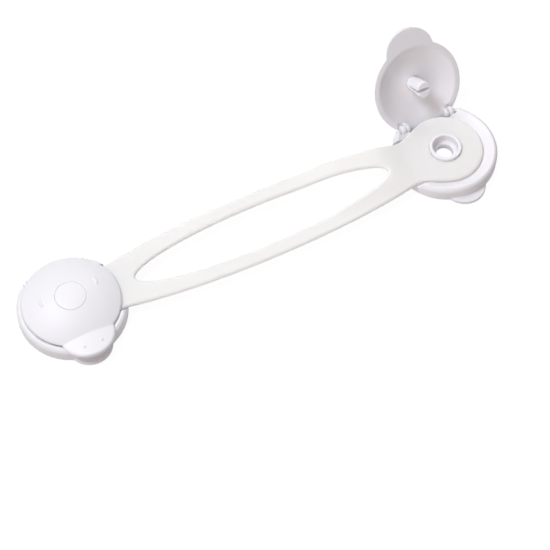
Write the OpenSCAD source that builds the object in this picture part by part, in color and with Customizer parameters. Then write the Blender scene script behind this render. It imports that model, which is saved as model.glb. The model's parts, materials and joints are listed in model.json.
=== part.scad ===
// Cabinet safety lock: two round stick-on heads joined by a soft looped strap.
// Each head is a shallow base with a flip-up lid. The lid's split pin snaps into the
// base's boss and traps the end of the strap. The left lid is shut and the right one open.
// X runs along the strap, -Y is the side of the lids' bills, and Z = 0 is the surface
// that the heads are stuck to.

/* [Overall] */
// Distance between the centres of the two heads
head_pitch = 154; // [120:1:220]
// How far the right lid stands open
open_angle = 124; // [60:1:124]
// Outer diameter of a base
head_d = 40; // [37:0.5:48]

/* [Base] */
// Height of a base from its underside to the top of its rim
base_h = 6; // [5.6:0.1:7]
// Height of the strap's seat above the underside
seat_h = 4; // [3.6:0.1:4.1]
// Rounding of the rim's outer edge
rim_round = 1.1; // [0.4:0.1:1.4]
// Width of the rim from the outer wall to its inner edge
rim_w = 1.7; // [1.2:0.1:1.9]
// Outer diameter of the central boss
boss_d = 12.3; // [11.6:0.1:13]
// Inner diameter of the boss's mouth
mouth_d = 9.9; // [9:0.1:10.4]
// Depth of the boss's mouth
mouth_depth = 3.5; // [3:0.1:3.8]
// Height of the boss above the strap's seat
boss_h = 2.6; // [2.2:0.1:3]
// Diameter of the hole that the split pin snaps into
bore_d = 6.4; // [6.4:0.05:7.5]
// Radius of the thumb tab under the bill
tab_r = 8.3; // [6:0.1:9]
// Reach of the thumb tab from the head's centre
tab_reach = 23.5; // [22:0.1:26]
// Thickness of the thumb tab
tab_t = 1.6; // [1:0.1:2.2]

/* [Lid] */
// Diameter of the lid's edge
lid_d = 36.3; // [35:0.1:36.4]
// Distance of the dome's centre behind the head's centre
lid_back = 0.6; // [0:0.1:0.7]
// Height of the dome above the lid's underside
dome_rise = 5.95; // [5:0.05:8]
// Height of the upright edge below the dome
edge_h = 0.55; // [0.4:0.05:1]
// Wall of the dome
lid_wall = 1.6; // [1.2:0.1:2]
// Reach of the bill from the head's centre
bill_reach = 23.6; // [22:0.1:26]
// Width of the bill
bill_w = 20.6; // [16:0.1:24]
// Distance of the crease between dome and bill from the head's centre
crease_y = 14.8; // [13.5:0.1:16]
// Drop of the bill from its crease to its tip
bill_drop = 0.3; // [0:0.05:0.8]
// Length of a raised eye
eye_l = 2.8; // [2:0.1:5]
// Width of a raised eye
eye_w = 1.1; // [0.6:0.1:1.6]
// Diameter of a raised nostril
nostril_d = 1.3; // [0.6:0.1:1.8]

/* [Hinge] */
// Distance of the hinge line behind the head's centre
hinge_y = 14.5; // [14.5:0.1:14.8]
// Height of the hinge line above the base's underside
hinge_h = 4.7; // [4.6:0.1:4.8]
// Diameter of a hinge peg
peg_d = 2; // [1.6:0.1:2.2]
// Distance from the head's centre to the inner side of a hinge ear
ear_x = 9.5; // [9.3:0.1:9.8]
// Thickness of a hinge ear
ear_t = 1.8; // [1.4:0.1:2]
// Diameter of an ear's rounded top
ear_d = 3.8; // [3.4:0.1:4]
// Diameter of a knuckle on the lid
knuckle_d = 3.2; // [3:0.1:3.4]
// Thickness of a knuckle on the lid
knuckle_t = 1.5; // [1.2:0.1:1.6]

/* [Snap pin] */
// Diameter of the pin's round cap
cap_d = 11.3; // [10:0.1:12]
// Diameter of the pin's shaft
pin_d = 5.4; // [5:0.05:5.5]
// Diameter over the barbs at the pin's tip
barb_d = 5.6; // [5.4:0.05:5.6]
// Length of the barbed tip
barb_l = 1.8; // [1.2:0.1:2.4]
// Width of the slot between the two prongs
slot_w = 1.3; // [0.8:0.1:1.6]
// Length of the slot
slot_l = 7.7; // [4:0.1:8]

/* [Strap] */
// Thickness of the strap
strap_t = 1.5; // [1:0.1:1.6]
// Diameter of the round ends of the strap
disc_d = 29; // [27:0.1:29.8]
// Play between the boss and the hole in each round end of the strap
disc_play = 0.4; // [0.3:0.05:1.2]
// Greatest width of the strap, at its middle
strap_w = 28.6; // [22:0.1:32]
// Length of the ellipse that the strap's outer edge follows
strap_l = 159; // [150:0.5:168]
// Length of the loop's opening
loop_l = 104; // [80:1:112]
// Width of the loop's opening
loop_w = 17.3; // [8:0.1:20]

/* [Adhesive] */
// Thickness of the foam pad
pad_t = 1; // [0.8:0.05:1.5]
// Diameter of the foam pad
pad_d = 35; // [28:0.5:35]
// Diameter of the hole in the foam pad
pad_hole_d = 9.2; // [8.6:0.1:14]
// Distance from the head's centre to the pad's straight back edge
pad_back = 11.8; // [9:0.1:11.9]
// Thickness of the release liner
liner_t = 0.1; // [0.1:0.05:0.3]
// Depth of the pad's recess in the base
recess_h = 0.9; // [0.6:0.05:1]

/* [Hidden] */
$fn = 96;

// Clearances
cut = 1;                // overrun of every cut
run_gap = 0.05;         // radial running clearance of a hinge peg
side_gap = 0.3;         // gap at the sides of moving pieces
strap_lift = 0.1;       // gap between the strap and its seat
lid_lift = 0.15;        // gap between the rim and the shut lid
pad_gap = 0.15;         // gap round the foam pad
cap_gap = 0.15;         // gap round the pin's cap
cap_seat_gap = 0.05;    // gap under the pin's cap

// Base
head_r = head_d / 2;
lid_r = lid_d / 2;
base_z = liner_t + pad_t - recess_h;
rim_z = base_z + base_h;
seat_z = base_z + seat_h;
boss_z = seat_z + boss_h;
deck_z = boss_z - mouth_depth;
foot_chamfer = 0.4;
rim_in_r = head_r - rim_w;
disc_gap = 0.4;         // gap round the strap's disc
seat_r = disc_d / 2 + disc_gap;
boss_chamfer = 0.3;
mouth_draft = 0.2;
slope_w_shares = [0.3, 0.62];
slope_h_shares = [0.3, 0.66];
boss_r = boss_d / 2;
mouth_r = mouth_d / 2;
bore_r = bore_d / 2;
tab_edge = 0.35;
back_y = hinge_y - ear_d / 2;   // straight back face of the base
wing_gap = 1;           // gap between a hinge ear and the rim beside it
back_half = ear_x + ear_t + wing_gap;

// Lid
lid_z = rim_z + lid_lift;
edge_z = lid_z + edge_h;
apex_z = lid_z + dome_rise;
dome_r = (pow(lid_r, 2) + pow(apex_z - edge_z, 2)) / (2 * (apex_z - edge_z));
dome_z = apex_z - dome_r;
edge_chamfer = 0.2;
bill_r = bill_w / 2;
bill_y = bill_reach - bill_r;
bill_top_r = sqrt(pow(dome_r, 2) - pow(crease_y + lid_back, 2));
bill_slope = atan(bill_drop / (bill_reach - crease_y));
bill_chamfer = 0.6;
bill_tip_z = dome_z + bill_top_r - bill_drop;
eye_x = 10.6;
eye_y = 2.4;
eye_out = norm([eye_x, eye_y - lid_back]) + eye_l / 2;
eye_z = dome_z + sqrt(pow(dome_r, 2) - pow(eye_out, 2)) - lid_wall / 2;
nostril_x = 3.3;
nostril_y = 19.2;
mark_h = 0.35;           // height of the eyes and nostrils
hub_wall = 1.4;
hub_r = cap_d / 2 + hub_wall;
hub_t = 1.2;
cap_t = 1.4;
cap_z = apex_z - cap_t;
hub_z = cap_z - cap_seat_gap - hub_t;

// Hinge
hinge_z = base_z + hinge_h;
peg_r = peg_d / 2;
ear_gap = 0.24;         // gap between a hinge ear and the lid beside it
pocket_gap = 0.36;      // gap between a hinge ear and the lid in front of it
pocket_z = hinge_z + ear_d / 2 + ear_gap;
slot_front = 1.1;       // where the lid's skin ends in front of the hinge line
knuckle_x = ear_x - side_gap - knuckle_t;

// Snap pin
pin_r = pin_d / 2;
barb_r = barb_d / 2;
tip_taper = 0.45;
tip_gap = 0.2;          // the pin's tip above the base's underside
barb_shares = [0.55, 0.7];
pin_tip_r = pin_r - tip_taper;
pin_tip_z = base_z + tip_gap;

// Strap
strap_z = seat_z + strap_lift;
disc_hole_r = boss_r + disc_play;
neck_gap = 0.5;
outline_steps = 96;

// The model is centred front to back between the shut bill and the tip of the open bill
open_tip_y = hinge_y + (bill_reach - bill_chamfer + hinge_y) * -cos(open_angle)
    + (bill_tip_z - hinge_z) * sin(open_angle);
centre_y = (bill_reach - open_tip_y) / 2;

plastic = "White";
soft_plastic = [0.93, 0.93, 0.91, 0.9];
foam = "WhiteSmoke";
paper = "OldLace";

// Half width of the strap's outer ellipse at a distance x from its middle
function outer_half(x) = strap_w / 2 * sqrt(1 - pow(2 * x / strap_l, 2));

// Half width of the notch in the wall that the strap's neck passes through
notch_half = outer_half(head_pitch / 2 - head_r) + neck_gap;

// Places a head: the left one as drawn, the right one mirrored
module at_head(side) {
    translate([side * head_pitch / 2, centre_y, 0])
        mirror([side > 0 ? 1 : 0, 0, 0])
            children();
}

// Swings a lid and its pin open about the hinge line
module swung(angle) {
    translate([0, hinge_y, hinge_z])
        rotate([-angle, 0, 0])
            translate([0, -hinge_y, -hinge_z])
                children();
}

// Repeats what is drawn at +X at -X as well
module both_sides() {
    children();
    mirror([1, 0, 0]) children();
}

module ellipse(length, width) {
    polygon([for (i = [0 : outline_steps - 1])
        let (a = 360 * i / outline_steps)
        [length / 2 * cos(a), width / 2 * sin(a)]]);
}

// Points of a quarter round from angle a0 to a1
function arc_points(cx, cz, r, a0, a1, steps) =
    [for (i = [0 : steps]) let (a = a0 + (a1 - a0) * i / steps) [cx + r * cos(a), cz + r * sin(a)]];

module base_profile() {
    slope_w = rim_in_r - seat_r;
    slope_h = rim_z - seat_z;
    polygon(concat(
        [[bore_r, base_z], [head_r - foot_chamfer, base_z], [head_r, base_z + foot_chamfer]],
        arc_points(head_r - rim_round, rim_z - rim_round, rim_round, 0, 90, 8),
        [[rim_in_r, rim_z],
         [seat_r + slope_w_shares[1] * slope_w, seat_z + slope_h_shares[1] * slope_h],
         [seat_r + slope_w_shares[0] * slope_w, seat_z + slope_h_shares[0] * slope_h],
         [seat_r, seat_z],
         [boss_r, seat_z],
         [boss_r, boss_z - boss_chamfer],
         [boss_r - boss_chamfer, boss_z],
         [mouth_r + boss_chamfer / 2, boss_z],
         [mouth_r, boss_z - boss_chamfer],
         [mouth_r - mouth_draft, deck_z],
         [bore_r, deck_z]]));
}

// Shape of the foam pad: round, with a straight back and a hole under the bore
module pad_shape(grow) {
    difference() {
        circle(r = pad_d / 2 + grow);
        translate([-head_d, pad_back + grow]) square([2 * head_d, head_d]);
        circle(r = pad_hole_d / 2 - grow);
    }
}

module hinge_ear() {
    translate([ear_x, hinge_y, hinge_z])
        rotate([0, 90, 0])
            cylinder(d = ear_d, h = ear_t);
    translate([ear_x, hinge_y - ear_d / 2, base_z])
        cube([ear_t, ear_d, hinge_h]);
    translate([ear_x, back_y - cut, base_z])
        cube([ear_t, cut + hinge_y - back_y, seat_h]);
}

module base_body() {
    difference() {
        union() {
            difference() {
                union() {
                    rotate_extrude() base_profile();
                    difference() {
                        translate([0, tab_r - tab_reach, base_z]) {
                            cylinder(r = tab_r, h = tab_t - tab_edge);
                            translate([0, 0, tab_t - tab_edge])
                                cylinder(r1 = tab_r, r2 = tab_r - tab_edge, h = tab_edge);
                        }
                        translate([0, 0, base_z - cut])
                            cylinder(r = head_r - rim_round, h = tab_t + 2 * cut);
                    }
                }
                // Cut-out at the back that the open lid swings into
                translate([-back_half, back_y, base_z - cut])
                    cube([2 * back_half, head_r, base_h + 2 * cut]);
            }
            both_sides() hinge_ear();
        }
        // Hinge holes
        both_sides()
            translate([ear_x - cut, hinge_y, hinge_z])
                rotate([0, 90, 0])
                    cylinder(r = peg_r + run_gap, h = ear_t + 2 * cut);
        // Notch for the strap's neck
        translate([boss_d, -notch_half, seat_z])
            cube([head_d, 2 * notch_half, base_h]);
        // Recess for the foam pad
        translate([0, 0, base_z - cut])
            linear_extrude(cut + recess_h)
                pad_shape(pad_gap);
    }
}

// Solid of the dome down to the lid's underside, closed at the edge
module dome_solid(shrink) {
    intersection() {
        translate([0, lid_back, dome_z]) sphere(r = dome_r - shrink, $fn = 180);
        translate([0, lid_back, lid_z]) {
            cylinder(r1 = lid_r - edge_chamfer - shrink, r2 = lid_r - shrink, h = edge_chamfer);
            translate([0, 0, edge_chamfer]) cylinder(r = lid_r - shrink, h = dome_rise);
        }
    }
}

module bill() {
    intersection() {
        translate([0, -bill_y, lid_z]) {
            cylinder(r1 = bill_r - edge_chamfer, r2 = bill_r, h = edge_chamfer);
            translate([0, 0, edge_chamfer])
                cylinder(r = bill_r, h = bill_tip_z - lid_z - edge_chamfer - bill_chamfer);
            translate([0, 0, bill_tip_z - lid_z - bill_chamfer])
                cylinder(r1 = bill_r, r2 = bill_r - 2 * bill_chamfer, h = 2 * bill_chamfer);
        }
        translate([0, -crease_y, dome_z])
            rotate([90 + bill_slope, 0, 0])
                translate([0, 0, -crease_y])
                    cylinder(r = bill_top_r, h = crease_y + head_d, $fn = 180);
    }
}

module knuckle() {
    translate([knuckle_x, hinge_y, hinge_z])
        rotate([0, 90, 0])
            cylinder(d = knuckle_d, h = knuckle_t);
    intersection() {
        translate([knuckle_x, hinge_y - knuckle_d / 2, hinge_z])
            cube([knuckle_t, knuckle_d, dome_rise]);
        union() {
            translate([0, lid_back, hinge_z]) cylinder(r = lid_r, h = edge_z - hinge_z);
            dome_solid(0);
        }
    }
    translate([knuckle_x, hinge_y, hinge_z])
        rotate([0, 90, 0])
            cylinder(r = peg_r, h = knuckle_t + side_gap + ear_t - run_gap);
}

module eye() {
    intersection() {
        translate([eye_x, eye_y, eye_z])
            linear_extrude(dome_rise) {
                square([eye_w, eye_l - eye_w], center = true);
                translate([0, (eye_l - eye_w) / 2]) circle(d = eye_w);
                translate([0, (eye_w - eye_l) / 2]) circle(d = eye_w);
            }
        translate([0, lid_back, dome_z]) sphere(r = dome_r + mark_h, $fn = 180);
    }
}

module nostril() {
    translate([nostril_x, -nostril_y, bill_tip_z - bill_chamfer])
        cylinder(d = nostril_d, h = bill_chamfer + mark_h);
}

module lid_body() {
    difference() {
        union() {
            difference() {
                union() {
                    dome_solid(0);
                    bill();
                }
                translate([0, lid_back, lid_z])
                    intersection() {
                        translate([0, 0, dome_z - lid_z]) sphere(r = dome_r - lid_wall, $fn = 180);
                        translate([0, 0, -cut]) cylinder(r = lid_r, h = dome_rise + cut);
                    }
                // Pockets that the hinge ears reach into, open at the lid's back edge
                both_sides() {
                    translate([ear_x - ear_gap, back_y - pocket_gap, lid_z - cut])
                        cube([ear_t + 2 * ear_gap, head_r, cut + pocket_z - lid_z]);
                    translate([ear_x - ear_gap, hinge_y - slot_front, lid_z - cut])
                        cube([ear_t + 2 * ear_gap, head_r, dome_rise]);
                }
            }
            // Hub that carries the snap pin
            intersection() {
                translate([0, 0, hub_z]) cylinder(r = hub_r, h = apex_z - hub_z);
                dome_solid(0);
            }
            both_sides() {
                knuckle();
                eye();
                nostril();
            }
        }
        // Seat of the pin's cap and the hole for its shaft
        translate([0, 0, cap_z - cap_seat_gap])
            cylinder(r = cap_d / 2 + cap_gap, h = cap_t + cut);
        translate([0, 0, hub_z - cut])
            cylinder(r = pin_r + run_gap, h = hub_t + 2 * cut);
    }
}

module snap_pin_body() {
    difference() {
        union() {
            intersection() {
                translate([0, 0, cap_z]) cylinder(d = cap_d, h = cap_t + cut);
                translate([0, lid_back, dome_z]) sphere(r = dome_r, $fn = 180);
            }
            rotate_extrude()
                polygon([[0, pin_tip_z], [pin_tip_r, pin_tip_z],
                         [barb_r, pin_tip_z + barb_shares[0] * barb_l],
                         [barb_r, pin_tip_z + barb_shares[1] * barb_l],
                         [pin_r, pin_tip_z + barb_l], [pin_r, cap_z + cap_t / 2],
                         [0, cap_z + cap_t / 2]]);
        }
        // Slot that lets the two prongs spring together
        translate([-pin_d, -slot_w / 2, pin_tip_z - cut])
            cube([2 * pin_d, slot_w, cut + slot_l - slot_w / 2]);
        translate([-pin_d, 0, pin_tip_z + slot_l - slot_w / 2])
            rotate([0, 90, 0])
                cylinder(d = slot_w, h = 2 * pin_d);
    }
}

module foam_pad_body() {
    translate([0, 0, liner_t]) linear_extrude(pad_t) pad_shape(0);
}

module release_liner_body() {
    linear_extrude(liner_t) pad_shape(0);
}

module strap() {
    color(soft_plastic)
        translate([0, centre_y, strap_z])
            linear_extrude(strap_t)
                difference() {
                    union() {
                        ellipse(strap_l, strap_w);
                        for (side = [-1, 1])
                            translate([side * head_pitch / 2, 0]) circle(d = disc_d);
                    }
                    ellipse(loop_l, loop_w);
                    for (side = [-1, 1])
                        translate([side * head_pitch / 2, 0]) circle(r = disc_hole_r);
                }
}

module left_base() {
    color(plastic) at_head(-1) base_body();
}

module left_lid() {
    color(plastic) at_head(-1) lid_body();
}

module left_snap_pin() {
    color(plastic) at_head(-1) snap_pin_body();
}

module left_foam_pad() {
    color(foam) at_head(-1) foam_pad_body();
}

module left_release_liner() {
    color(paper) at_head(-1) release_liner_body();
}

module right_base() {
    color(plastic) at_head(1) base_body();
}

module right_lid() {
    color(plastic) at_head(1) swung(open_angle) lid_body();
}

module right_snap_pin() {
    color(plastic) at_head(1) swung(open_angle) snap_pin_body();
}

module right_foam_pad() {
    color(foam) at_head(1) foam_pad_body();
}

module right_release_liner() {
    color(paper) at_head(1) release_liner_body();
}

strap();
left_base();
left_lid();
left_snap_pin();
left_foam_pad();
left_release_liner();
right_base();
right_lid();
right_snap_pin();
right_foam_pad();
right_release_liner();
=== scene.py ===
"""Looks of the cabinet safety lock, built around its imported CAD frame.

Every moulded piece is written as a distance field in millimetres, in its head's own
coordinates: X across the head, -Y towards the bill, Z up, the origin on the surface below the
head's centre. The field gives each edge and corner its moulded radius, and a net of quads
is laid on it. The left head's pieces stand as drawn, and the right head's are mirrored.

The strap's field has its X from the strap's middle and its Y from the line between the heads'
centres. Its points are bent up a little towards the open head once the net is laid.
"""

import math

import bpy
import numpy as np
from mathutils import Matrix, Vector
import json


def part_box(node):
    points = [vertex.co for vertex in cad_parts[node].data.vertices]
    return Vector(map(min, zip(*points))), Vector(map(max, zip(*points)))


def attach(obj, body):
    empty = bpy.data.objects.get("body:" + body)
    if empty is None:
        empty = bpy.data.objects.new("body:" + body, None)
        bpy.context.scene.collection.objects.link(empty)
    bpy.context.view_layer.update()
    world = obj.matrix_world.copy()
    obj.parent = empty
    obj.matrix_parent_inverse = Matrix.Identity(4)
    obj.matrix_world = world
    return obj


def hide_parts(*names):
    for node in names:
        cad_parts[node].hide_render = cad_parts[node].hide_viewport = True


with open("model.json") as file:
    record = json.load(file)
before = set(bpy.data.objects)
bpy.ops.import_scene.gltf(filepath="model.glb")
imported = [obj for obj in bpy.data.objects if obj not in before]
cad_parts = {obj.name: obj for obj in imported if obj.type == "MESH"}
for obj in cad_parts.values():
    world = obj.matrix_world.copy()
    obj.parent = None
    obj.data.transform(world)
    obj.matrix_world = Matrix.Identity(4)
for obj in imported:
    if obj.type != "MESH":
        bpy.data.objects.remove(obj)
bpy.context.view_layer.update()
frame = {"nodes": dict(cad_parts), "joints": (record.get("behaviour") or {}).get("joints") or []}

MM = 0.001
FAR = 60.0             # longer than any piece of a head, in mm


# Sizes, in mm
def box_mm(node):
    """Lowest and highest corner of a CAD node."""
    low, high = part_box(node)
    return low / MM, high / MM


def joint(name):
    return next(j for j in frame["joints"] if j["name"] == name)


left_low, left_high = box_mm("left_base")
pin_low, pin_high = box_mm("left_snap_pin")
strap_low, strap_high = box_mm("strap")

HEAD_X = (left_low.x + left_high.x) / 2    # centre of the left head
HEAD_Y = (pin_low.y + pin_high.y) / 2
HINGE = Vector(joint("left_lid_hinge")["pos_m"]) / MM - Vector((HEAD_X, HEAD_Y, 0))
OPEN_ANGLE = math.radians(joint("left_lid_hinge")["range_deg"][1])

# The base
HEAD_R = (left_high.x - left_low.x) / 2
BASE_Z = left_low.z
EDGE_ROUND = 0.3       # edges of the base that have no radius of their own
RIM_Z = BASE_Z + 6.0
RIM_ROUND = 2.0
RIM_INNER_ROUND = 0.4
RIM_INNER_R = 18.3
SEAT_Z = BASE_Z + 4.0
SEAT_R = 15.1
BOSS_R = 6.15
BOSS_Z = SEAT_Z + 2.6
BOSS_FILLET = 0.35
MOUTH_R = 4.85
MOUTH_FILLET = 1.2
DECK_Z = BOSS_Z - 3.5
BORE_R = 3.2
BORE_ROUND = 0.6
TAB_R = 8.3
TAB_Y = -15.2
TAB_Z = BASE_Z + 1.6
TAB_ROUND = 0.5
TAB_FILLET = 0.3
TAB_ROOT = 3.0         # how far the tab reaches in below the rim
BACK_Y = HINGE.y - 1.9
BACK_HALF = 12.3
BACK_ROUND = 0.25
NOTCH_X = 12.3
NOTCH_HALF = 10.47
EAR_X = 9.5
EAR_T = 1.8
EAR_R = 1.8
EAR_FOOT = 1.0         # how far an ear's foot reaches into the base
EAR_FILLET = 0.2
PEG_R = 1.0
PEG_ROOM = 0.05        # round a peg in its hole, and before its end
PEG_HOLE_ROUND = 0.08
PAD_R = 17.65
PAD_BACK = 11.95
PAD_HOLE_R = 4.45
RECESS_Z = BASE_Z + 0.9
RECESS_ROUND = 0.1

# The lid
LID_R = 18.15
LID_BACK = 0.6         # the dome's centre behind the head's
LID_Z = RIM_Z + 0.15
LID_ROUND = 0.6        # between the dome and its side
LID_FOOT_ROUND = 0.12  # along the side's lower edge
EDGE_Z = LID_Z + 0.55
APEX_Z = LID_Z + 5.95
DOME_R = (LID_R ** 2 + (APEX_Z - EDGE_Z) ** 2) / (2 * (APEX_Z - EDGE_Z))
DOME_Z = APEX_Z - DOME_R
LID_WALL = 1.6
HOLLOW_ROUND = 0.3
BILL_R = 10.22
BILL_Y = 13.3
BILL_ROUND = 0.8
BILL_DROP = 0.3        # how far the bill's top falls on its way to the tip
CREASE_Y = 14.8
CREASE_FILLET = 0.15
BILL_TOP_R = math.sqrt(DOME_R ** 2 - (CREASE_Y + LID_BACK) ** 2)
BILL_SLOPE = math.atan(BILL_DROP / (BILL_Y + BILL_R - CREASE_Y))
EYE_X = 10.6
EYE_Y = 2.4
EYE_HALF = 1.0
NOSTRIL_X = 3.3
NOSTRIL_Y = 19.2
MARK_R = 0.62          # of the eyes and nostrils
MARK_SINK = 0.2        # how far below the surface their centres lie
MARK_FILLET = 0.15
HUB_BLEND = 1.0        # how softly the hub flows into the dome's inside
CAP_R = 5.65
CAP_GAP = 0.03
CAP_Z = APEX_Z - 1.4
RING_ROUND = 0.22      # edges on both sides of the ring
HUB_Z = CAP_Z - 1.25
KNUCKLE_X = 7.7
KNUCKLE_T = 1.5
KNUCKLE_R = 1.6
KNUCKLE_ROUND = 0.15
KNUCKLE_FILLET = 0.25
WEB_INSET = 0.4        # how far a knuckle's web stays inside the lid
POCKET_GAP = 0.12      # between the ears and the lid's pockets and slots for them
POCKET_Z = HINGE.z + EAR_R + POCKET_GAP
POCKET_BACK = BACK_Y - 0.36
POCKET_ROUND = 0.12
SLOT_FRONT = 1.1       # how far a slot reaches before the hinge line
SLOT_FOOT = LID_Z - 0.5
PEG_CLEAR = 0.2        # kept round the pegs

# The snap pin
PIN_R = 2.8
PIN_ROOM = 0.05        # round the pin in the lid
PIN_TIP_Z = BASE_Z + 0.15
PIN_TIP_ROUND = 0.35
PIN_PROFILE = ((0, 2.6), (0.5, 2.9), (1.6, 2.9), (2.3, PIN_R))    # height above the tip, radius
PIN_EVEN = 0.9         # evens out the field where the profile slopes
PIN_FILLET = 0.1
CAP_ROOT = 0.7         # how far the shaft reaches into the cap
SPLIT_L = 7.7
SPLIT_HALF = 0.4
SPLIT_ROUND = 0.12
SPLAY = 0.25           # how far each prong's tip leans outwards

# The strap
DISC_R = 14.5
DISC_HOLE_R = 6.16
DISC_HOLE_ROUND = 0.12
NECK_FILLET = 6.5
STRAP_HALF_L = 79.5
STRAP_HALF_W = 14.3
LOOP_HALF_L = 52.0
LOOP_HALF_W = 8.65
STRAP_TOP_ROUND = 0.9
STRAP_FOOT_ROUND = 0.25
RISE = 1.8             # how far the soft strap's far arm lifts before the open head
RISE_X = (16, 36)      # it starts and is full at these places along the strap
RISE_Y = (-12, -2)     # it is nothing at the near edge, and full from the second place on
RISE_REACH = (15, 27)  # it ends between these distances from the open head's centre


# Distance fields
def join(a, b, radius):
    """Union of two fields, the corner between them filled to a radius."""
    fillet = np.hypot(np.maximum(radius - a, 0), np.maximum(radius - b, 0))
    return np.maximum(radius, np.minimum(a, b)) - fillet


def meet(a, b, radius):
    """Intersection of two fields, the edge between them rounded to a radius."""
    round_over = np.hypot(np.maximum(radius + a, 0), np.maximum(radius + b, 0))
    return np.minimum(-radius, np.maximum(a, b)) + round_over


def blend(a, b, spread):
    """Intersection of two fields that meet at a shallow angle, which flow into each other."""
    near = np.maximum(spread - np.abs(a - b), 0)
    return np.maximum(a, b) + near ** 2 / (4 * spread)


def carve(a, b, radius):
    """Field a without field b, the edge rounded to a radius."""
    return meet(a, -b, radius)


def between(v, low, high):
    return np.maximum(low - v, v - high)


def ease(v, start, end):
    """Runs smoothly from 0 at start to 1 at end."""
    t = np.clip((v - start) / (end - start), 0, 1)
    return t * t * (3 - 2 * t)


def rod_x(y, z, radius):
    """A rod along the hinge line."""
    return np.hypot(y - HINGE.y, z - HINGE.z) - radius


def dome(x, y, z, radius=DOME_R):
    return np.sqrt(x ** 2 + (y - LID_BACK) ** 2 + (z - DOME_Z) ** 2) - radius


def bill_top(x, y, z):
    """The bill's top: a cylinder that falls a little towards the tip."""
    across = (z - DOME_Z) * math.cos(BILL_SLOPE) - (y + CREASE_Y) * math.sin(BILL_SLOPE)
    return np.hypot(x, across) - BILL_TOP_R


def lid_field(x, y, z):
    rho = np.hypot(x, y)
    edge = np.hypot(x, y - LID_BACK) - LID_R
    side = np.abs(x)
    shell = meet(dome(x, y, z), edge, LID_ROUND)
    bill = meet(np.hypot(x, y + BILL_Y) - BILL_R, bill_top(x, y, z), BILL_ROUND)
    shell = join(shell, bill, CREASE_FILLET)
    shell = meet(shell, LID_Z - z, LID_FOOT_ROUND)
    hollow = blend(dome(x, y, z, DOME_R - LID_WALL), z - HUB_Z, HUB_BLEND)
    shell = carve(shell, hollow, HOLLOW_ROUND)

    web = np.maximum(np.abs(y - HINGE.y) - KNUCKLE_R, HINGE.z - z)
    web = np.maximum(np.maximum(web, dome(x, y, z, DOME_R - WEB_INSET)), edge + WEB_INSET)
    knuckle = meet(np.minimum(rod_x(y, z, KNUCKLE_R), web),
                   between(side, KNUCKLE_X, KNUCKLE_X + KNUCKLE_T), KNUCKLE_ROUND)
    shell = join(shell, knuckle, KNUCKLE_FILLET)
    peg = np.maximum(rod_x(y, z, PEG_R), between(side, KNUCKLE_X, EAR_X + EAR_T - PEG_ROOM))
    shell = np.minimum(shell, peg)

    beside_ear = between(side, EAR_X - POCKET_GAP, EAR_X + EAR_T + POCKET_GAP)
    pocket = np.maximum(POCKET_BACK - y, between(z, LID_Z - FAR, POCKET_Z))
    above_ear = (z - HINGE.z) * math.sin(OPEN_ANGLE) + (y - HINGE.y) * math.cos(OPEN_ANGLE)
    slot = np.maximum(HINGE.y - SLOT_FRONT - y, SLOT_FOOT - z)
    slot = np.maximum(slot, above_ear - EAR_R - POCKET_GAP)
    clear_of_peg = PEG_CLEAR - rod_x(y, z, PEG_R)
    pocket = np.maximum(np.maximum(np.minimum(pocket, slot), beside_ear), clear_of_peg)
    shell = carve(shell, pocket, POCKET_ROUND)

    seat = np.maximum(rho - CAP_R - CAP_GAP, CAP_Z - CAP_GAP - z)
    shell = carve(shell, seat, RING_ROUND)
    shell = np.maximum(shell, PIN_R + PIN_ROOM - rho)

    behind = np.clip(y - LID_BACK, 0, EYE_Y * 2)
    eye_z = DOME_Z + np.sqrt(DOME_R ** 2 - EYE_X ** 2 - behind ** 2) - MARK_SINK
    along = np.maximum(np.abs(y - EYE_Y) - EYE_HALF, 0)
    eye = np.sqrt((side - EYE_X) ** 2 + along ** 2 + (z - eye_z) ** 2) - MARK_R
    shell = join(shell, eye, MARK_FILLET)
    fall = (NOSTRIL_Y - CREASE_Y) * math.tan(BILL_SLOPE)
    nostril_z = DOME_Z + math.sqrt(BILL_TOP_R ** 2 - NOSTRIL_X ** 2) - MARK_SINK - fall
    nostril = np.sqrt((side - NOSTRIL_X) ** 2 + (y + NOSTRIL_Y) ** 2 + (z - nostril_z) ** 2) - MARK_R
    return join(shell, nostril, MARK_FILLET)


def pad_outline(x, y):
    rho = np.hypot(x, y)
    return np.maximum(np.maximum(rho - PAD_R, y - PAD_BACK), PAD_HOLE_R - rho)


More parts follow.
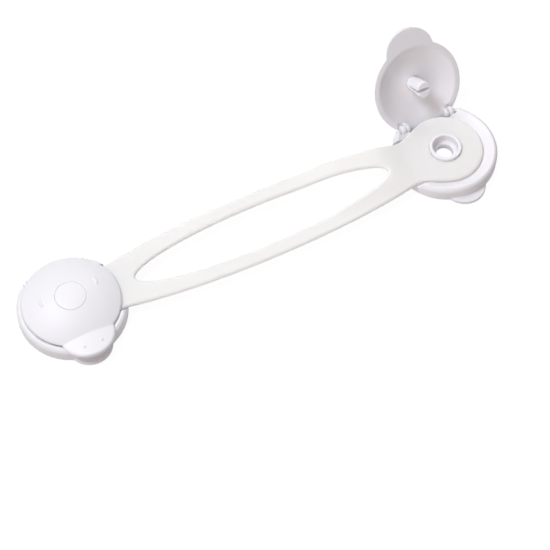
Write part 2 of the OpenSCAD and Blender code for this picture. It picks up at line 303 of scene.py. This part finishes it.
def base_field(x, y, z):
    rho = np.hypot(x, y)
    side = np.abs(x)
    body = meet(rho - HEAD_R, z - RIM_Z, RIM_ROUND)
    run, rise = RIM_INNER_R - SEAT_R, RIM_Z - SEAT_Z
    cone = ((rho - SEAT_R) * rise - (z - SEAT_Z) * run) / math.hypot(run, rise)
    bowl = meet(SEAT_Z - z, cone, EDGE_ROUND)
    body = carve(body, bowl, RIM_INNER_ROUND)
    boss = meet(rho - BOSS_R, z - BOSS_Z, EDGE_ROUND)
    body = join(body, boss, BOSS_FILLET)

    tab = meet(np.hypot(x, y - TAB_Y) - TAB_R, z - TAB_Z, TAB_ROUND)
    tab = np.maximum(tab, HEAD_R - TAB_ROOT - rho)
    body = join(body, tab, TAB_FILLET)

    cutout = np.maximum(side - BACK_HALF, BACK_Y - y)
    body = carve(body, cutout, BACK_ROUND)
    body = meet(body, BASE_Z - z, EDGE_ROUND)
    ear = np.minimum(rod_x(y, z, EAR_R),
                     np.maximum(np.abs(y - HINGE.y) - EAR_R, z - HINGE.z))
    foot = np.maximum(z - SEAT_Z, between(y, BACK_Y - EAR_FOOT, HINGE.y))
    ear = meet(np.minimum(ear, foot), between(side, EAR_X, EAR_X + EAR_T), EDGE_ROUND)
    ear = meet(ear, BASE_Z - z, EAR_FILLET)
    body = join(body, ear, EAR_FILLET)
    body = carve(body, rod_x(y, z, PEG_R + PEG_ROOM), PEG_HOLE_ROUND)

    notch = np.maximum(np.maximum(NOTCH_X - x, np.abs(y) - NOTCH_HALF), SEAT_Z - z)
    body = carve(body, notch, EDGE_ROUND)

    body = carve(body, meet(rho - MOUTH_R, DECK_Z - z, MOUTH_FILLET), EDGE_ROUND)
    body = carve(body, rho - BORE_R, BORE_ROUND)
    return carve(body, np.maximum(pad_outline(x, y), z - RECESS_Z), RECESS_ROUND)


def pin_field(x, y, z):
    rho = np.hypot(x, y)
    split_end = PIN_TIP_Z + SPLIT_L - SPLIT_HALF
    lean = SPLAY * ease(z, split_end, PIN_TIP_Z)
    heights, radii = zip(*PIN_PROFILE)
    prong = np.hypot(x, np.maximum(np.abs(y) - lean, 0))
    shaft = (prong - np.interp(z - PIN_TIP_Z, heights, radii)) * PIN_EVEN
    shaft = meet(meet(shaft, PIN_TIP_Z - z, PIN_TIP_ROUND), z - CAP_Z - CAP_ROOT, PIN_FILLET)
    cap = meet(rho - CAP_R, dome(x, y, z), RING_ROUND)
    cap = meet(cap, CAP_Z - z, PIN_FILLET)
    pin = join(shaft, cap, PIN_FILLET)
    split = np.hypot(y, np.maximum(z - split_end, 0)) - SPLIT_HALF - lean
    return carve(pin, split, SPLIT_ROUND)


def ellipse(x, y, half_x, half_y):
    """Nearly the distance to an ellipse, close to its edge."""
    tiny = 1e-6    # keeps the middle from a division by zero
    share = np.sqrt((x / half_x) ** 2 + (y / half_y) ** 2) + tiny
    slope = np.sqrt((x / half_x ** 2) ** 2 + (y / half_y ** 2) ** 2) / share + tiny
    return (share - 1) / slope


def strap_field(x, y, z):
    from_disc = np.hypot(np.abs(x) + HEAD_X, y)
    outline = join(ellipse(x, y, STRAP_HALF_L, STRAP_HALF_W), from_disc - DISC_R, NECK_FILLET)
    outline = np.maximum(outline, -ellipse(x, y, LOOP_HALF_L, LOOP_HALF_W))
    sheet = meet(outline, z - strap_high.z, STRAP_TOP_ROUND)
    sheet = meet(sheet, strap_low.z - z, STRAP_FOOT_ROUND)
    return carve(sheet, from_disc - DISC_HOLE_R, DISC_HOLE_ROUND)


def lifted(points):
    """The flat strap's points with its far arm bent up a little on its way to the open head."""
    x, y, z = points.T
    reach = np.hypot(x + HEAD_X, y)    # the open head's centre lies at -HEAD_X
    rise = RISE * ease(x, *RISE_X) * ease(reach, *RISE_REACH) * ease(y, *RISE_Y)
    return np.stack([x, y, z + rise], 1)


# A net of quads on a field
MARGIN = 1.5           # cells kept free round a piece
ROUNDS = 3             # passes in which the points settle on the surface
PROBE_PART = 50        # a probe of the slope reaches this part of a cell
LEAST_SLOPE = 0.5      # taken where the field is flatter, as in a crease
LONGEST_MOVE = 0.3     # in one pass, as a share of a cell


def net(field, low, high, step):
    """Vertices and quads of a field's surface, one vertex in each cell that it crosses."""
    axes = [np.arange(a - MARGIN * s, b + MARGIN * s, s) for a, b, s in zip(low, high, step)]
    value = field(axes[0][:, None, None], axes[1][None, :, None], axes[2][None, None, :])
    inside = value < 0
    cells = tuple(n - 1 for n in value.shape)
    total = np.zeros(cells + (3,))
    count = np.zeros(cells, int)
    crossings = []
    for axis in range(3):
        head = [slice(None)] * 3
        tail = [slice(None)] * 3
        head[axis], tail[axis] = slice(None, -1), slice(1, None)
        a, b = value[tuple(head)], value[tuple(tail)]
        crossed = np.argwhere(inside[tuple(head)] != inside[tuple(tail)])
        i = tuple(crossed.T)
        t = a[i] / (a[i] - b[i])
        point = crossed.astype(float)
        point[:, axis] += t
        crossings.append((axis, crossed, inside[tuple(head)][i]))
        u, v = [k for k in range(3) if k != axis]
        for du in (0, 1):
            for dv in (0, 1):
                cell = crossed.copy()
                cell[:, u] -= du
                cell[:, v] -= dv
                np.add.at(total, tuple(cell.T), point)
                np.add.at(count, tuple(cell.T), 1)
    used = count > 0
    number = np.full(cells, -1)
    number[used] = np.arange(used.sum())
    origin = np.array([a[0] for a in axes])
    points = total[used] / count[used][:, None] * np.array(step) + origin
    quads = []
    for axis, crossed, starts_inside in crossings:
        u, v = [k for k in range(3) if k != axis]
        corner = []
        for du, dv in ((0, 0), (1, 0), (1, 1), (0, 1)):
            cell = crossed.copy()
            cell[:, u] -= du
            cell[:, v] -= dv
            corner.append(number[tuple(cell.T)])
        quad = np.stack(corner, 1)
        flip = starts_inside if axis == 1 else ~starts_inside
        quad[flip] = quad[flip][:, ::-1]
        quads.append(quad)
    return settle(field, points, min(step)), np.concatenate(quads)


def settle(field, points, step):
    """Moves the points onto the field's surface along its slope."""
    reach = step / PROBE_PART
    tiny = 1e-9    # keeps a point at rest from a division by zero
    for _ in range(ROUNDS):
        value = field(*points.T)
        slope = np.stack([(field(*(points + d).T) - field(*(points - d).T)) / (2 * reach)
                          for d in np.eye(3) * reach], 1)
        steep = np.maximum((slope ** 2).sum(1), LEAST_SLOPE ** 2)
        move = -slope * (value / steep)[:, None]
        length = np.linalg.norm(move, axis=1)[:, None]
        points = points + move * np.minimum(1, LONGEST_MOVE * step / np.maximum(length, tiny))
    return points


def piece(name, points, quads, mirrored=False):
    """A smooth mesh object from points in mm and quads."""
    if mirrored:
        quads = quads[:, ::-1]
    mesh = bpy.data.meshes.new(name)
    mesh.vertices.add(len(points))
    mesh.vertices.foreach_set("co", (points * MM).astype(np.float32).ravel())
    mesh.loops.add(quads.size)
    mesh.loops.foreach_set("vertex_index", quads.astype(np.int32).ravel())
    mesh.polygons.add(len(quads))
    mesh.polygons.foreach_set("loop_start", np.arange(0, quads.size, 4, dtype=np.int32))
    mesh.update(calc_edges=True)
    mesh.validate()
    mesh.shade_smooth()
    obj = bpy.data.objects.new(name, mesh)
    bpy.context.scene.collection.objects.link(obj)
    return obj


def on_head(points, side, angle):
    """Head coordinates to the row's, for the left (-1) or right (1) head, swung open by an angle."""
    y, z = points[:, 1] - HINGE.y, points[:, 2] - HINGE.z
    c, s = math.cos(-angle), math.sin(-angle)
    y, z = y * c - z * s + HINGE.y, y * s + z * c + HINGE.z
    return np.stack([side * (-HEAD_X) - side * points[:, 0], y + HEAD_Y, z], 1)


# Materials
def material(name):
    mat = bpy.data.materials.new(name)
    mat.use_nodes = True
    return mat, mat.node_tree.nodes, mat.node_tree.links, mat.node_tree.nodes["Principled BSDF"]


def noise(nodes, links, scale, detail=2.0):
    coords = nodes.new("ShaderNodeTexCoord")
    tex = nodes.new("ShaderNodeTexNoise")
    tex.inputs["Scale"].default_value = scale
    tex.inputs["Detail"].default_value = detail
    links.new(coords.outputs["Object"], tex.inputs["Vector"])
    return tex.outputs["Fac"]


def vary_colour(nodes, links, shader, fac, low, high):
    mix = nodes.new("ShaderNodeMix")
    mix.data_type = "RGBA"
    mix.inputs["A"].default_value = (*low, 1)
    mix.inputs["B"].default_value = (*high, 1)
    links.new(fac, mix.inputs["Factor"])
    links.new(mix.outputs["Result"], shader.inputs["Base Color"])


def vary_roughness(nodes, links, shader, fac, low, high):
    spread = nodes.new("ShaderNodeMapRange")
    spread.inputs["To Min"].default_value = low
    spread.inputs["To Max"].default_value = high
    links.new(fac, spread.inputs["Value"])
    links.new(spread.outputs["Result"], shader.inputs["Roughness"])


def bump(nodes, links, shader, fac, strength, depth_mm):
    node = nodes.new("ShaderNodeBump")
    node.inputs["Strength"].default_value = strength
    node.inputs["Distance"].default_value = depth_mm * MM
    links.new(fac, node.inputs["Height"])
    links.new(node.outputs["Normal"], shader.inputs["Normal"])


def pass_light(shader, ior, weight, radius, reach_mm):
    """How light bends at the surface and how far it spreads below it."""
    shader.inputs["IOR"].default_value = ior
    shader.inputs["Subsurface Weight"].default_value = weight
    shader.inputs["Subsurface Radius"].default_value = radius
    shader.inputs["Subsurface Scale"].default_value = reach_mm * MM


def moulded_plastic(name, dark, light, smooth, rough):
    mat, nodes, links, shader = material(name)
    vary_colour(nodes, links, shader, noise(nodes, links, scale=90), dark, light)
    vary_roughness(nodes, links, shader, noise(nodes, links, scale=260), smooth, rough)
    bump(nodes, links, shader, noise(nodes, links, scale=2600, detail=3), strength=0.12, depth_mm=0.02)
    pass_light(shader, ior=1.5, weight=0.12, radius=(1.0, 0.95, 0.9), reach_mm=1.0)
    return mat


def soft_plastic():
    mat, nodes, links, shader = material("milky_soft_plastic")
    vary_colour(nodes, links, shader, noise(nodes, links, scale=60),
                low=(0.86, 0.85, 0.832), high=(0.87, 0.86, 0.842))
    vary_roughness(nodes, links, shader, noise(nodes, links, scale=300), low=0.45, high=0.58)
    bump(nodes, links, shader, noise(nodes, links, scale=1900, detail=3), strength=0.15, depth_mm=0.03)
    pass_light(shader, ior=1.49, weight=1.0, radius=(1.0, 1.0, 0.96), reach_mm=1.5)
    return mat


def foam():
    mat, nodes, links, shader = material("white_foam")
    coords = nodes.new("ShaderNodeTexCoord")
    cells = nodes.new("ShaderNodeTexVoronoi")
    cells.inputs["Scale"].default_value = 2600
    links.new(coords.outputs["Object"], cells.inputs["Vector"])
    vary_colour(nodes, links, shader, cells.outputs["Distance"],
                low=(0.80, 0.80, 0.79), high=(0.90, 0.90, 0.89))
    vary_roughness(nodes, links, shader, noise(nodes, links, scale=900), low=0.8, high=0.95)
    bump(nodes, links, shader, cells.outputs["Distance"], strength=0.6, depth_mm=0.08)
    return mat


def release_paper():
    mat, nodes, links, shader = material("release_paper")
    vary_colour(nodes, links, shader, noise(nodes, links, scale=700, detail=6),
                low=(0.88, 0.86, 0.80), high=(0.93, 0.92, 0.87))
    vary_roughness(nodes, links, shader, noise(nodes, links, scale=500), low=0.35, high=0.5)
    bump(nodes, links, shader, noise(nodes, links, scale=3000, detail=5), strength=0.2, depth_mm=0.01)
    return mat


SHELL = moulded_plastic("white_shell_plastic", dark=(0.875, 0.86, 0.885), light=(0.89, 0.875, 0.90),
                        smooth=0.42, rough=0.52)
PIN = moulded_plastic("white_pin_plastic", dark=(0.885, 0.87, 0.89), light=(0.90, 0.885, 0.905),
                      smooth=0.40, rough=0.50)
STRAP = soft_plastic()
FOAM = foam()
LINER = release_paper()


# The object
def dress(obj, mat, body, node):
    """Material and moving body of a piece, and hides the CAD node that it stands for."""
    obj.data.materials.append(mat)
    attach(obj, body)
    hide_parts(node)


HEAD_PIECES = (
    # field, lowest corner, highest corner, cell, name, moves with, slot, material; sizes in mm
    (base_field, (-20, -23.5, BASE_Z), (20, 16.4, 6.8), 0.22, "base", "base", "white_shell", SHELL),
    (lid_field, (-18.2, -23.6, 3.3), (18.2, 18.8, 12.3), 0.2, "lid", "lid", "white_shell", SHELL),
    (pin_field, (-5.7, -5.7, 0.4), (5.7, 5.7, 12.3), 0.13, "snap_pin", "lid", "white_pin", PIN),
)

STRAP_CELL = (0.4, 0.3, 0.16)

for field, low, high, cell, name, mover, slot, mat in HEAD_PIECES:
    points, quads = net(field, low, high, (cell,) * 3)
    for side, word in ((-1, "left"), (1, "right")):
        angle = OPEN_ANGLE if side > 0 and mover == "lid" else 0.0
        obj = piece(f"{word}_{name}_moulding", on_head(points, side, angle), quads, mirrored=side > 0)
        dress(obj, mat, f"{word}_{mover}", f"{word}_{name}")

points, quads = net(strap_field, (strap_low.x, -DISC_R, strap_low.z),
                    (strap_high.x, DISC_R, strap_high.z), STRAP_CELL)
strap = piece("soft_strap_moulding", lifted(points) + (0, HEAD_Y, 0), quads)
dress(strap, STRAP, "left_base", "strap")

for node, mat in (("foam_pad", FOAM), ("release_liner", LINER)):
    for word in ("left", "right"):
        cad = frame["nodes"][f"{word}_{node}"]
        cad.data.materials.clear()
        cad.data.materials.append(mat)


# The camera, fitted to the photograph
AZIMUTH = math.radians(-28.4617)
ELEVATION = math.radians(60.0974)
ROLL = math.radians(2.0499)
DISTANCE = 650.0           # in mm, from the lock's middle
PAN = (4.179, -16.283)     # in mm, to the picture's right and up
FOCAL_PX = 1746.22
PHOTO_PX = 550
SENSOR = 36.0              # in mm

back = Vector((math.sin(AZIMUTH) * math.cos(ELEVATION),
               -math.cos(AZIMUTH) * math.cos(ELEVATION), math.sin(ELEVATION)))
level = Vector((math.cos(AZIMUTH), math.sin(AZIMUTH), 0))
upright = back.cross(level)
right = level * math.cos(ROLL) + upright * math.sin(ROLL)
up = upright * math.cos(ROLL) - level * math.sin(ROLL)
aim = Vector((0, HEAD_Y, BASE_Z))
eye = (aim + back * DISTANCE + right * PAN[0] + up * PAN[1]) * MM

camera_data = bpy.data.cameras.new("camera")
camera_data.lens = SENSOR * FOCAL_PX / PHOTO_PX
camera_data.sensor_width = SENSOR
camera = bpy.data.objects.new("camera", camera_data)
camera.matrix_world = Matrix(((right.x, up.x, back.x, eye.x), (right.y, up.y, back.y, eye.y),
                              (right.z, up.z, back.z, eye.z), (0, 0, 0, 1)))
bpy.context.scene.collection.objects.link(camera)
bpy.context.scene.camera = camera


# Floor and light
def seen_directly(nodes, links):
    """1 for rays from the camera, and for those reflected or passed on by the object."""
    path = nodes.new("ShaderNodeLightPath")
    total = path.outputs["Is Camera Ray"]
    for name in ("Is Glossy Ray", "Is Transmission Ray"):
        add = nodes.new("ShaderNodeMath")
        add.operation = "MAXIMUM"
        links.new(total, add.inputs[0])
        links.new(path.outputs[name], add.inputs[1])
        total = add.outputs[0]
    return total


def show_or_light(nodes, links, shown, lighting, output):
    """One shader for what is seen directly, and another for what lights the object."""
    pick = nodes.new("ShaderNodeMixShader")
    links.new(seen_directly(nodes, links), pick.inputs[0])
    links.new(lighting.outputs[0], pick.inputs[1])
    links.new(shown.outputs[0], pick.inputs[2])
    links.new(pick.outputs[0], nodes[output].inputs["Surface"])


FLOOR_HALF = 3.0       # in metres
FLOOR_DROP = 0.05      # in mm, below the surface that the heads are stuck to
FLOOR_GLOW = 0.94      # white that the floor shows by itself
FLOOR_PAINT = 0.09     # share that takes light and the object's shadow
HEAD_BOUNCE = 0.42     # what the floor gives back to the heads
STRAP_BOUNCE = 0.95    # and to the strap's middle
BOUNCE_X = (50, 62)    # in mm from the middle, where the one runs into the other


def floor_paint():
    """White with a faint shadow where it is seen, and paler below the strap than at the heads."""
    mat, nodes, links, shader = material("pale_floor")
    nodes.remove(shader)
    glow = nodes.new("ShaderNodeEmission")
    glow.inputs["Strength"].default_value = FLOOR_GLOW
    paint = nodes.new("ShaderNodeBsdfDiffuse")
    paint.inputs["Color"].default_value = (FLOOR_PAINT,) * 3 + (1,)
    shown = nodes.new("ShaderNodeAddShader")
    links.new(glow.outputs[0], shown.inputs[0])
    links.new(paint.outputs[0], shown.inputs[1])
    coords = nodes.new("ShaderNodeTexCoord")
    split = nodes.new("ShaderNodeSeparateXYZ")
    links.new(coords.outputs["Object"], split.inputs[0])
    sideways = nodes.new("ShaderNodeMath")
    sideways.operation = "ABSOLUTE"
    links.new(split.outputs["X"], sideways.inputs[0])
    fade = nodes.new("ShaderNodeMapRange")
    fade.inputs["From Min"].default_value = BOUNCE_X[0] * MM
    fade.inputs["From Max"].default_value = BOUNCE_X[1] * MM
    fade.inputs["To Min"].default_value = STRAP_BOUNCE
    fade.inputs["To Max"].default_value = HEAD_BOUNCE
    links.new(sideways.outputs[0], fade.inputs["Value"])
    bounce = nodes.new("ShaderNodeBsdfDiffuse")
    links.new(fade.outputs["Result"], bounce.inputs["Color"])
    show_or_light(nodes, links, shown, bounce, "Material Output")
    return mat


mesh = bpy.data.meshes.new("floor")
corners = [(FLOOR_HALF * x, FLOOR_HALF * y, 0) for x, y in ((-1, -1), (1, -1), (1, 1), (-1, 1))]
mesh.from_pydata(corners, [], [(0, 1, 2, 3)])
mesh.materials.append(floor_paint())
floor = bpy.data.objects.new("floor", mesh)
floor.location.z = -FLOOR_DROP * MM
bpy.context.scene.collection.objects.link(floor)

ROOM_GLOWS = (
    # azimuth, elevation, how narrow, colour; azimuth 0 is the picture's right and 90 its top
    (45, 15, 4, (0.40, 0.39, 0.41)),
    (225, 15, 4, (0.68, 0.655, 0.63)),
    (270, 15, 4, (1.03, 0.93, 0.91)),
    (60, 50, 4, (0.24, 0.235, 0.25)),
    (240, 50, 4, (0.20, 0.16, 0.145)),
)

flat_right = Vector((right.x, right.y, 0)).normalized()
flat_up = Vector((-back.x, -back.y, 0)).normalized()


def toward(azimuth, elevation):
    """A direction from the object, by degrees from the picture's right and from the floor."""
    a, e = math.radians(azimuth), math.radians(elevation)
    level_part = flat_right * math.cos(a) + flat_up * math.sin(a)
    return level_part * math.cos(e) + Vector((0, 0, math.sin(e)))


def room_light(nodes, links):
    """Soft glows of the room's walls, each brightest in its own direction."""
    coords = nodes.new("ShaderNodeTexCoord")
    total = None
    for azimuth, elevation, power, colour in ROOM_GLOWS:
        dot = nodes.new("ShaderNodeVectorMath")
        dot.operation = "DOT_PRODUCT"
        links.new(coords.outputs["Generated"], dot.inputs[0])
        dot.inputs[1].default_value = toward(azimuth, elevation)
        facing = nodes.new("ShaderNodeMath")
        facing.operation = "MAXIMUM"
        links.new(dot.outputs["Value"], facing.inputs[0])
        facing.inputs[1].default_value = 0
        lobe = nodes.new("ShaderNodeMath")
        lobe.operation = "POWER"
        links.new(facing.outputs[0], lobe.inputs[0])
        lobe.inputs[1].default_value = power
        tint = nodes.new("ShaderNodeVectorMath")
        tint.operation = "SCALE"
        tint.inputs[0].default_value = colour
        links.new(lobe.outputs[0], tint.inputs["Scale"])
        if total is None:
            total = tint.outputs[0]
        else:
            add = nodes.new("ShaderNodeVectorMath")
            links.new(total, add.inputs[0])
            links.new(tint.outputs[0], add.inputs[1])
            total = add.outputs[0]
    return total


world = bpy.data.worlds.new("studio")
world.use_nodes = True
nodes, links = world.node_tree.nodes, world.node_tree.links
sky = nodes["Background"]
links.new(room_light(nodes, links), sky.inputs["Color"])
backdrop = nodes.new("ShaderNodeBackground")
backdrop.inputs["Strength"].default_value = 1.0
show_or_light(nodes, links, backdrop, sky, "World Output")
bpy.context.scene.world = world

LAMP_DISTANCE = 1.2    # in metres


def softbox(name, azimuth, elevation, power, colour, size):
    """A round area light that hangs in a direction from the object and faces it."""
    light = bpy.data.lights.new(name, "AREA")
    light.shape = "DISK"
    light.size = size
    light.energy = power
    light.color = colour
    lamp = bpy.data.objects.new(name, light)
    direction = toward(azimuth, elevation)
    lamp.location = aim * MM + direction * LAMP_DISTANCE
    lamp.rotation_euler = direction.to_track_quat("Z", "Y").to_euler()
    bpy.context.scene.collection.objects.link(lamp)


softbox("key", azimuth=180, elevation=65, power=8.0, colour=(0.85, 0.915, 1.0), size=0.5)
softbox("back", azimuth=90, elevation=45, power=4.7, colour=(1.0, 0.96, 0.87), size=0.8)

bpy.context.scene.view_settings.view_transform = "Standard"
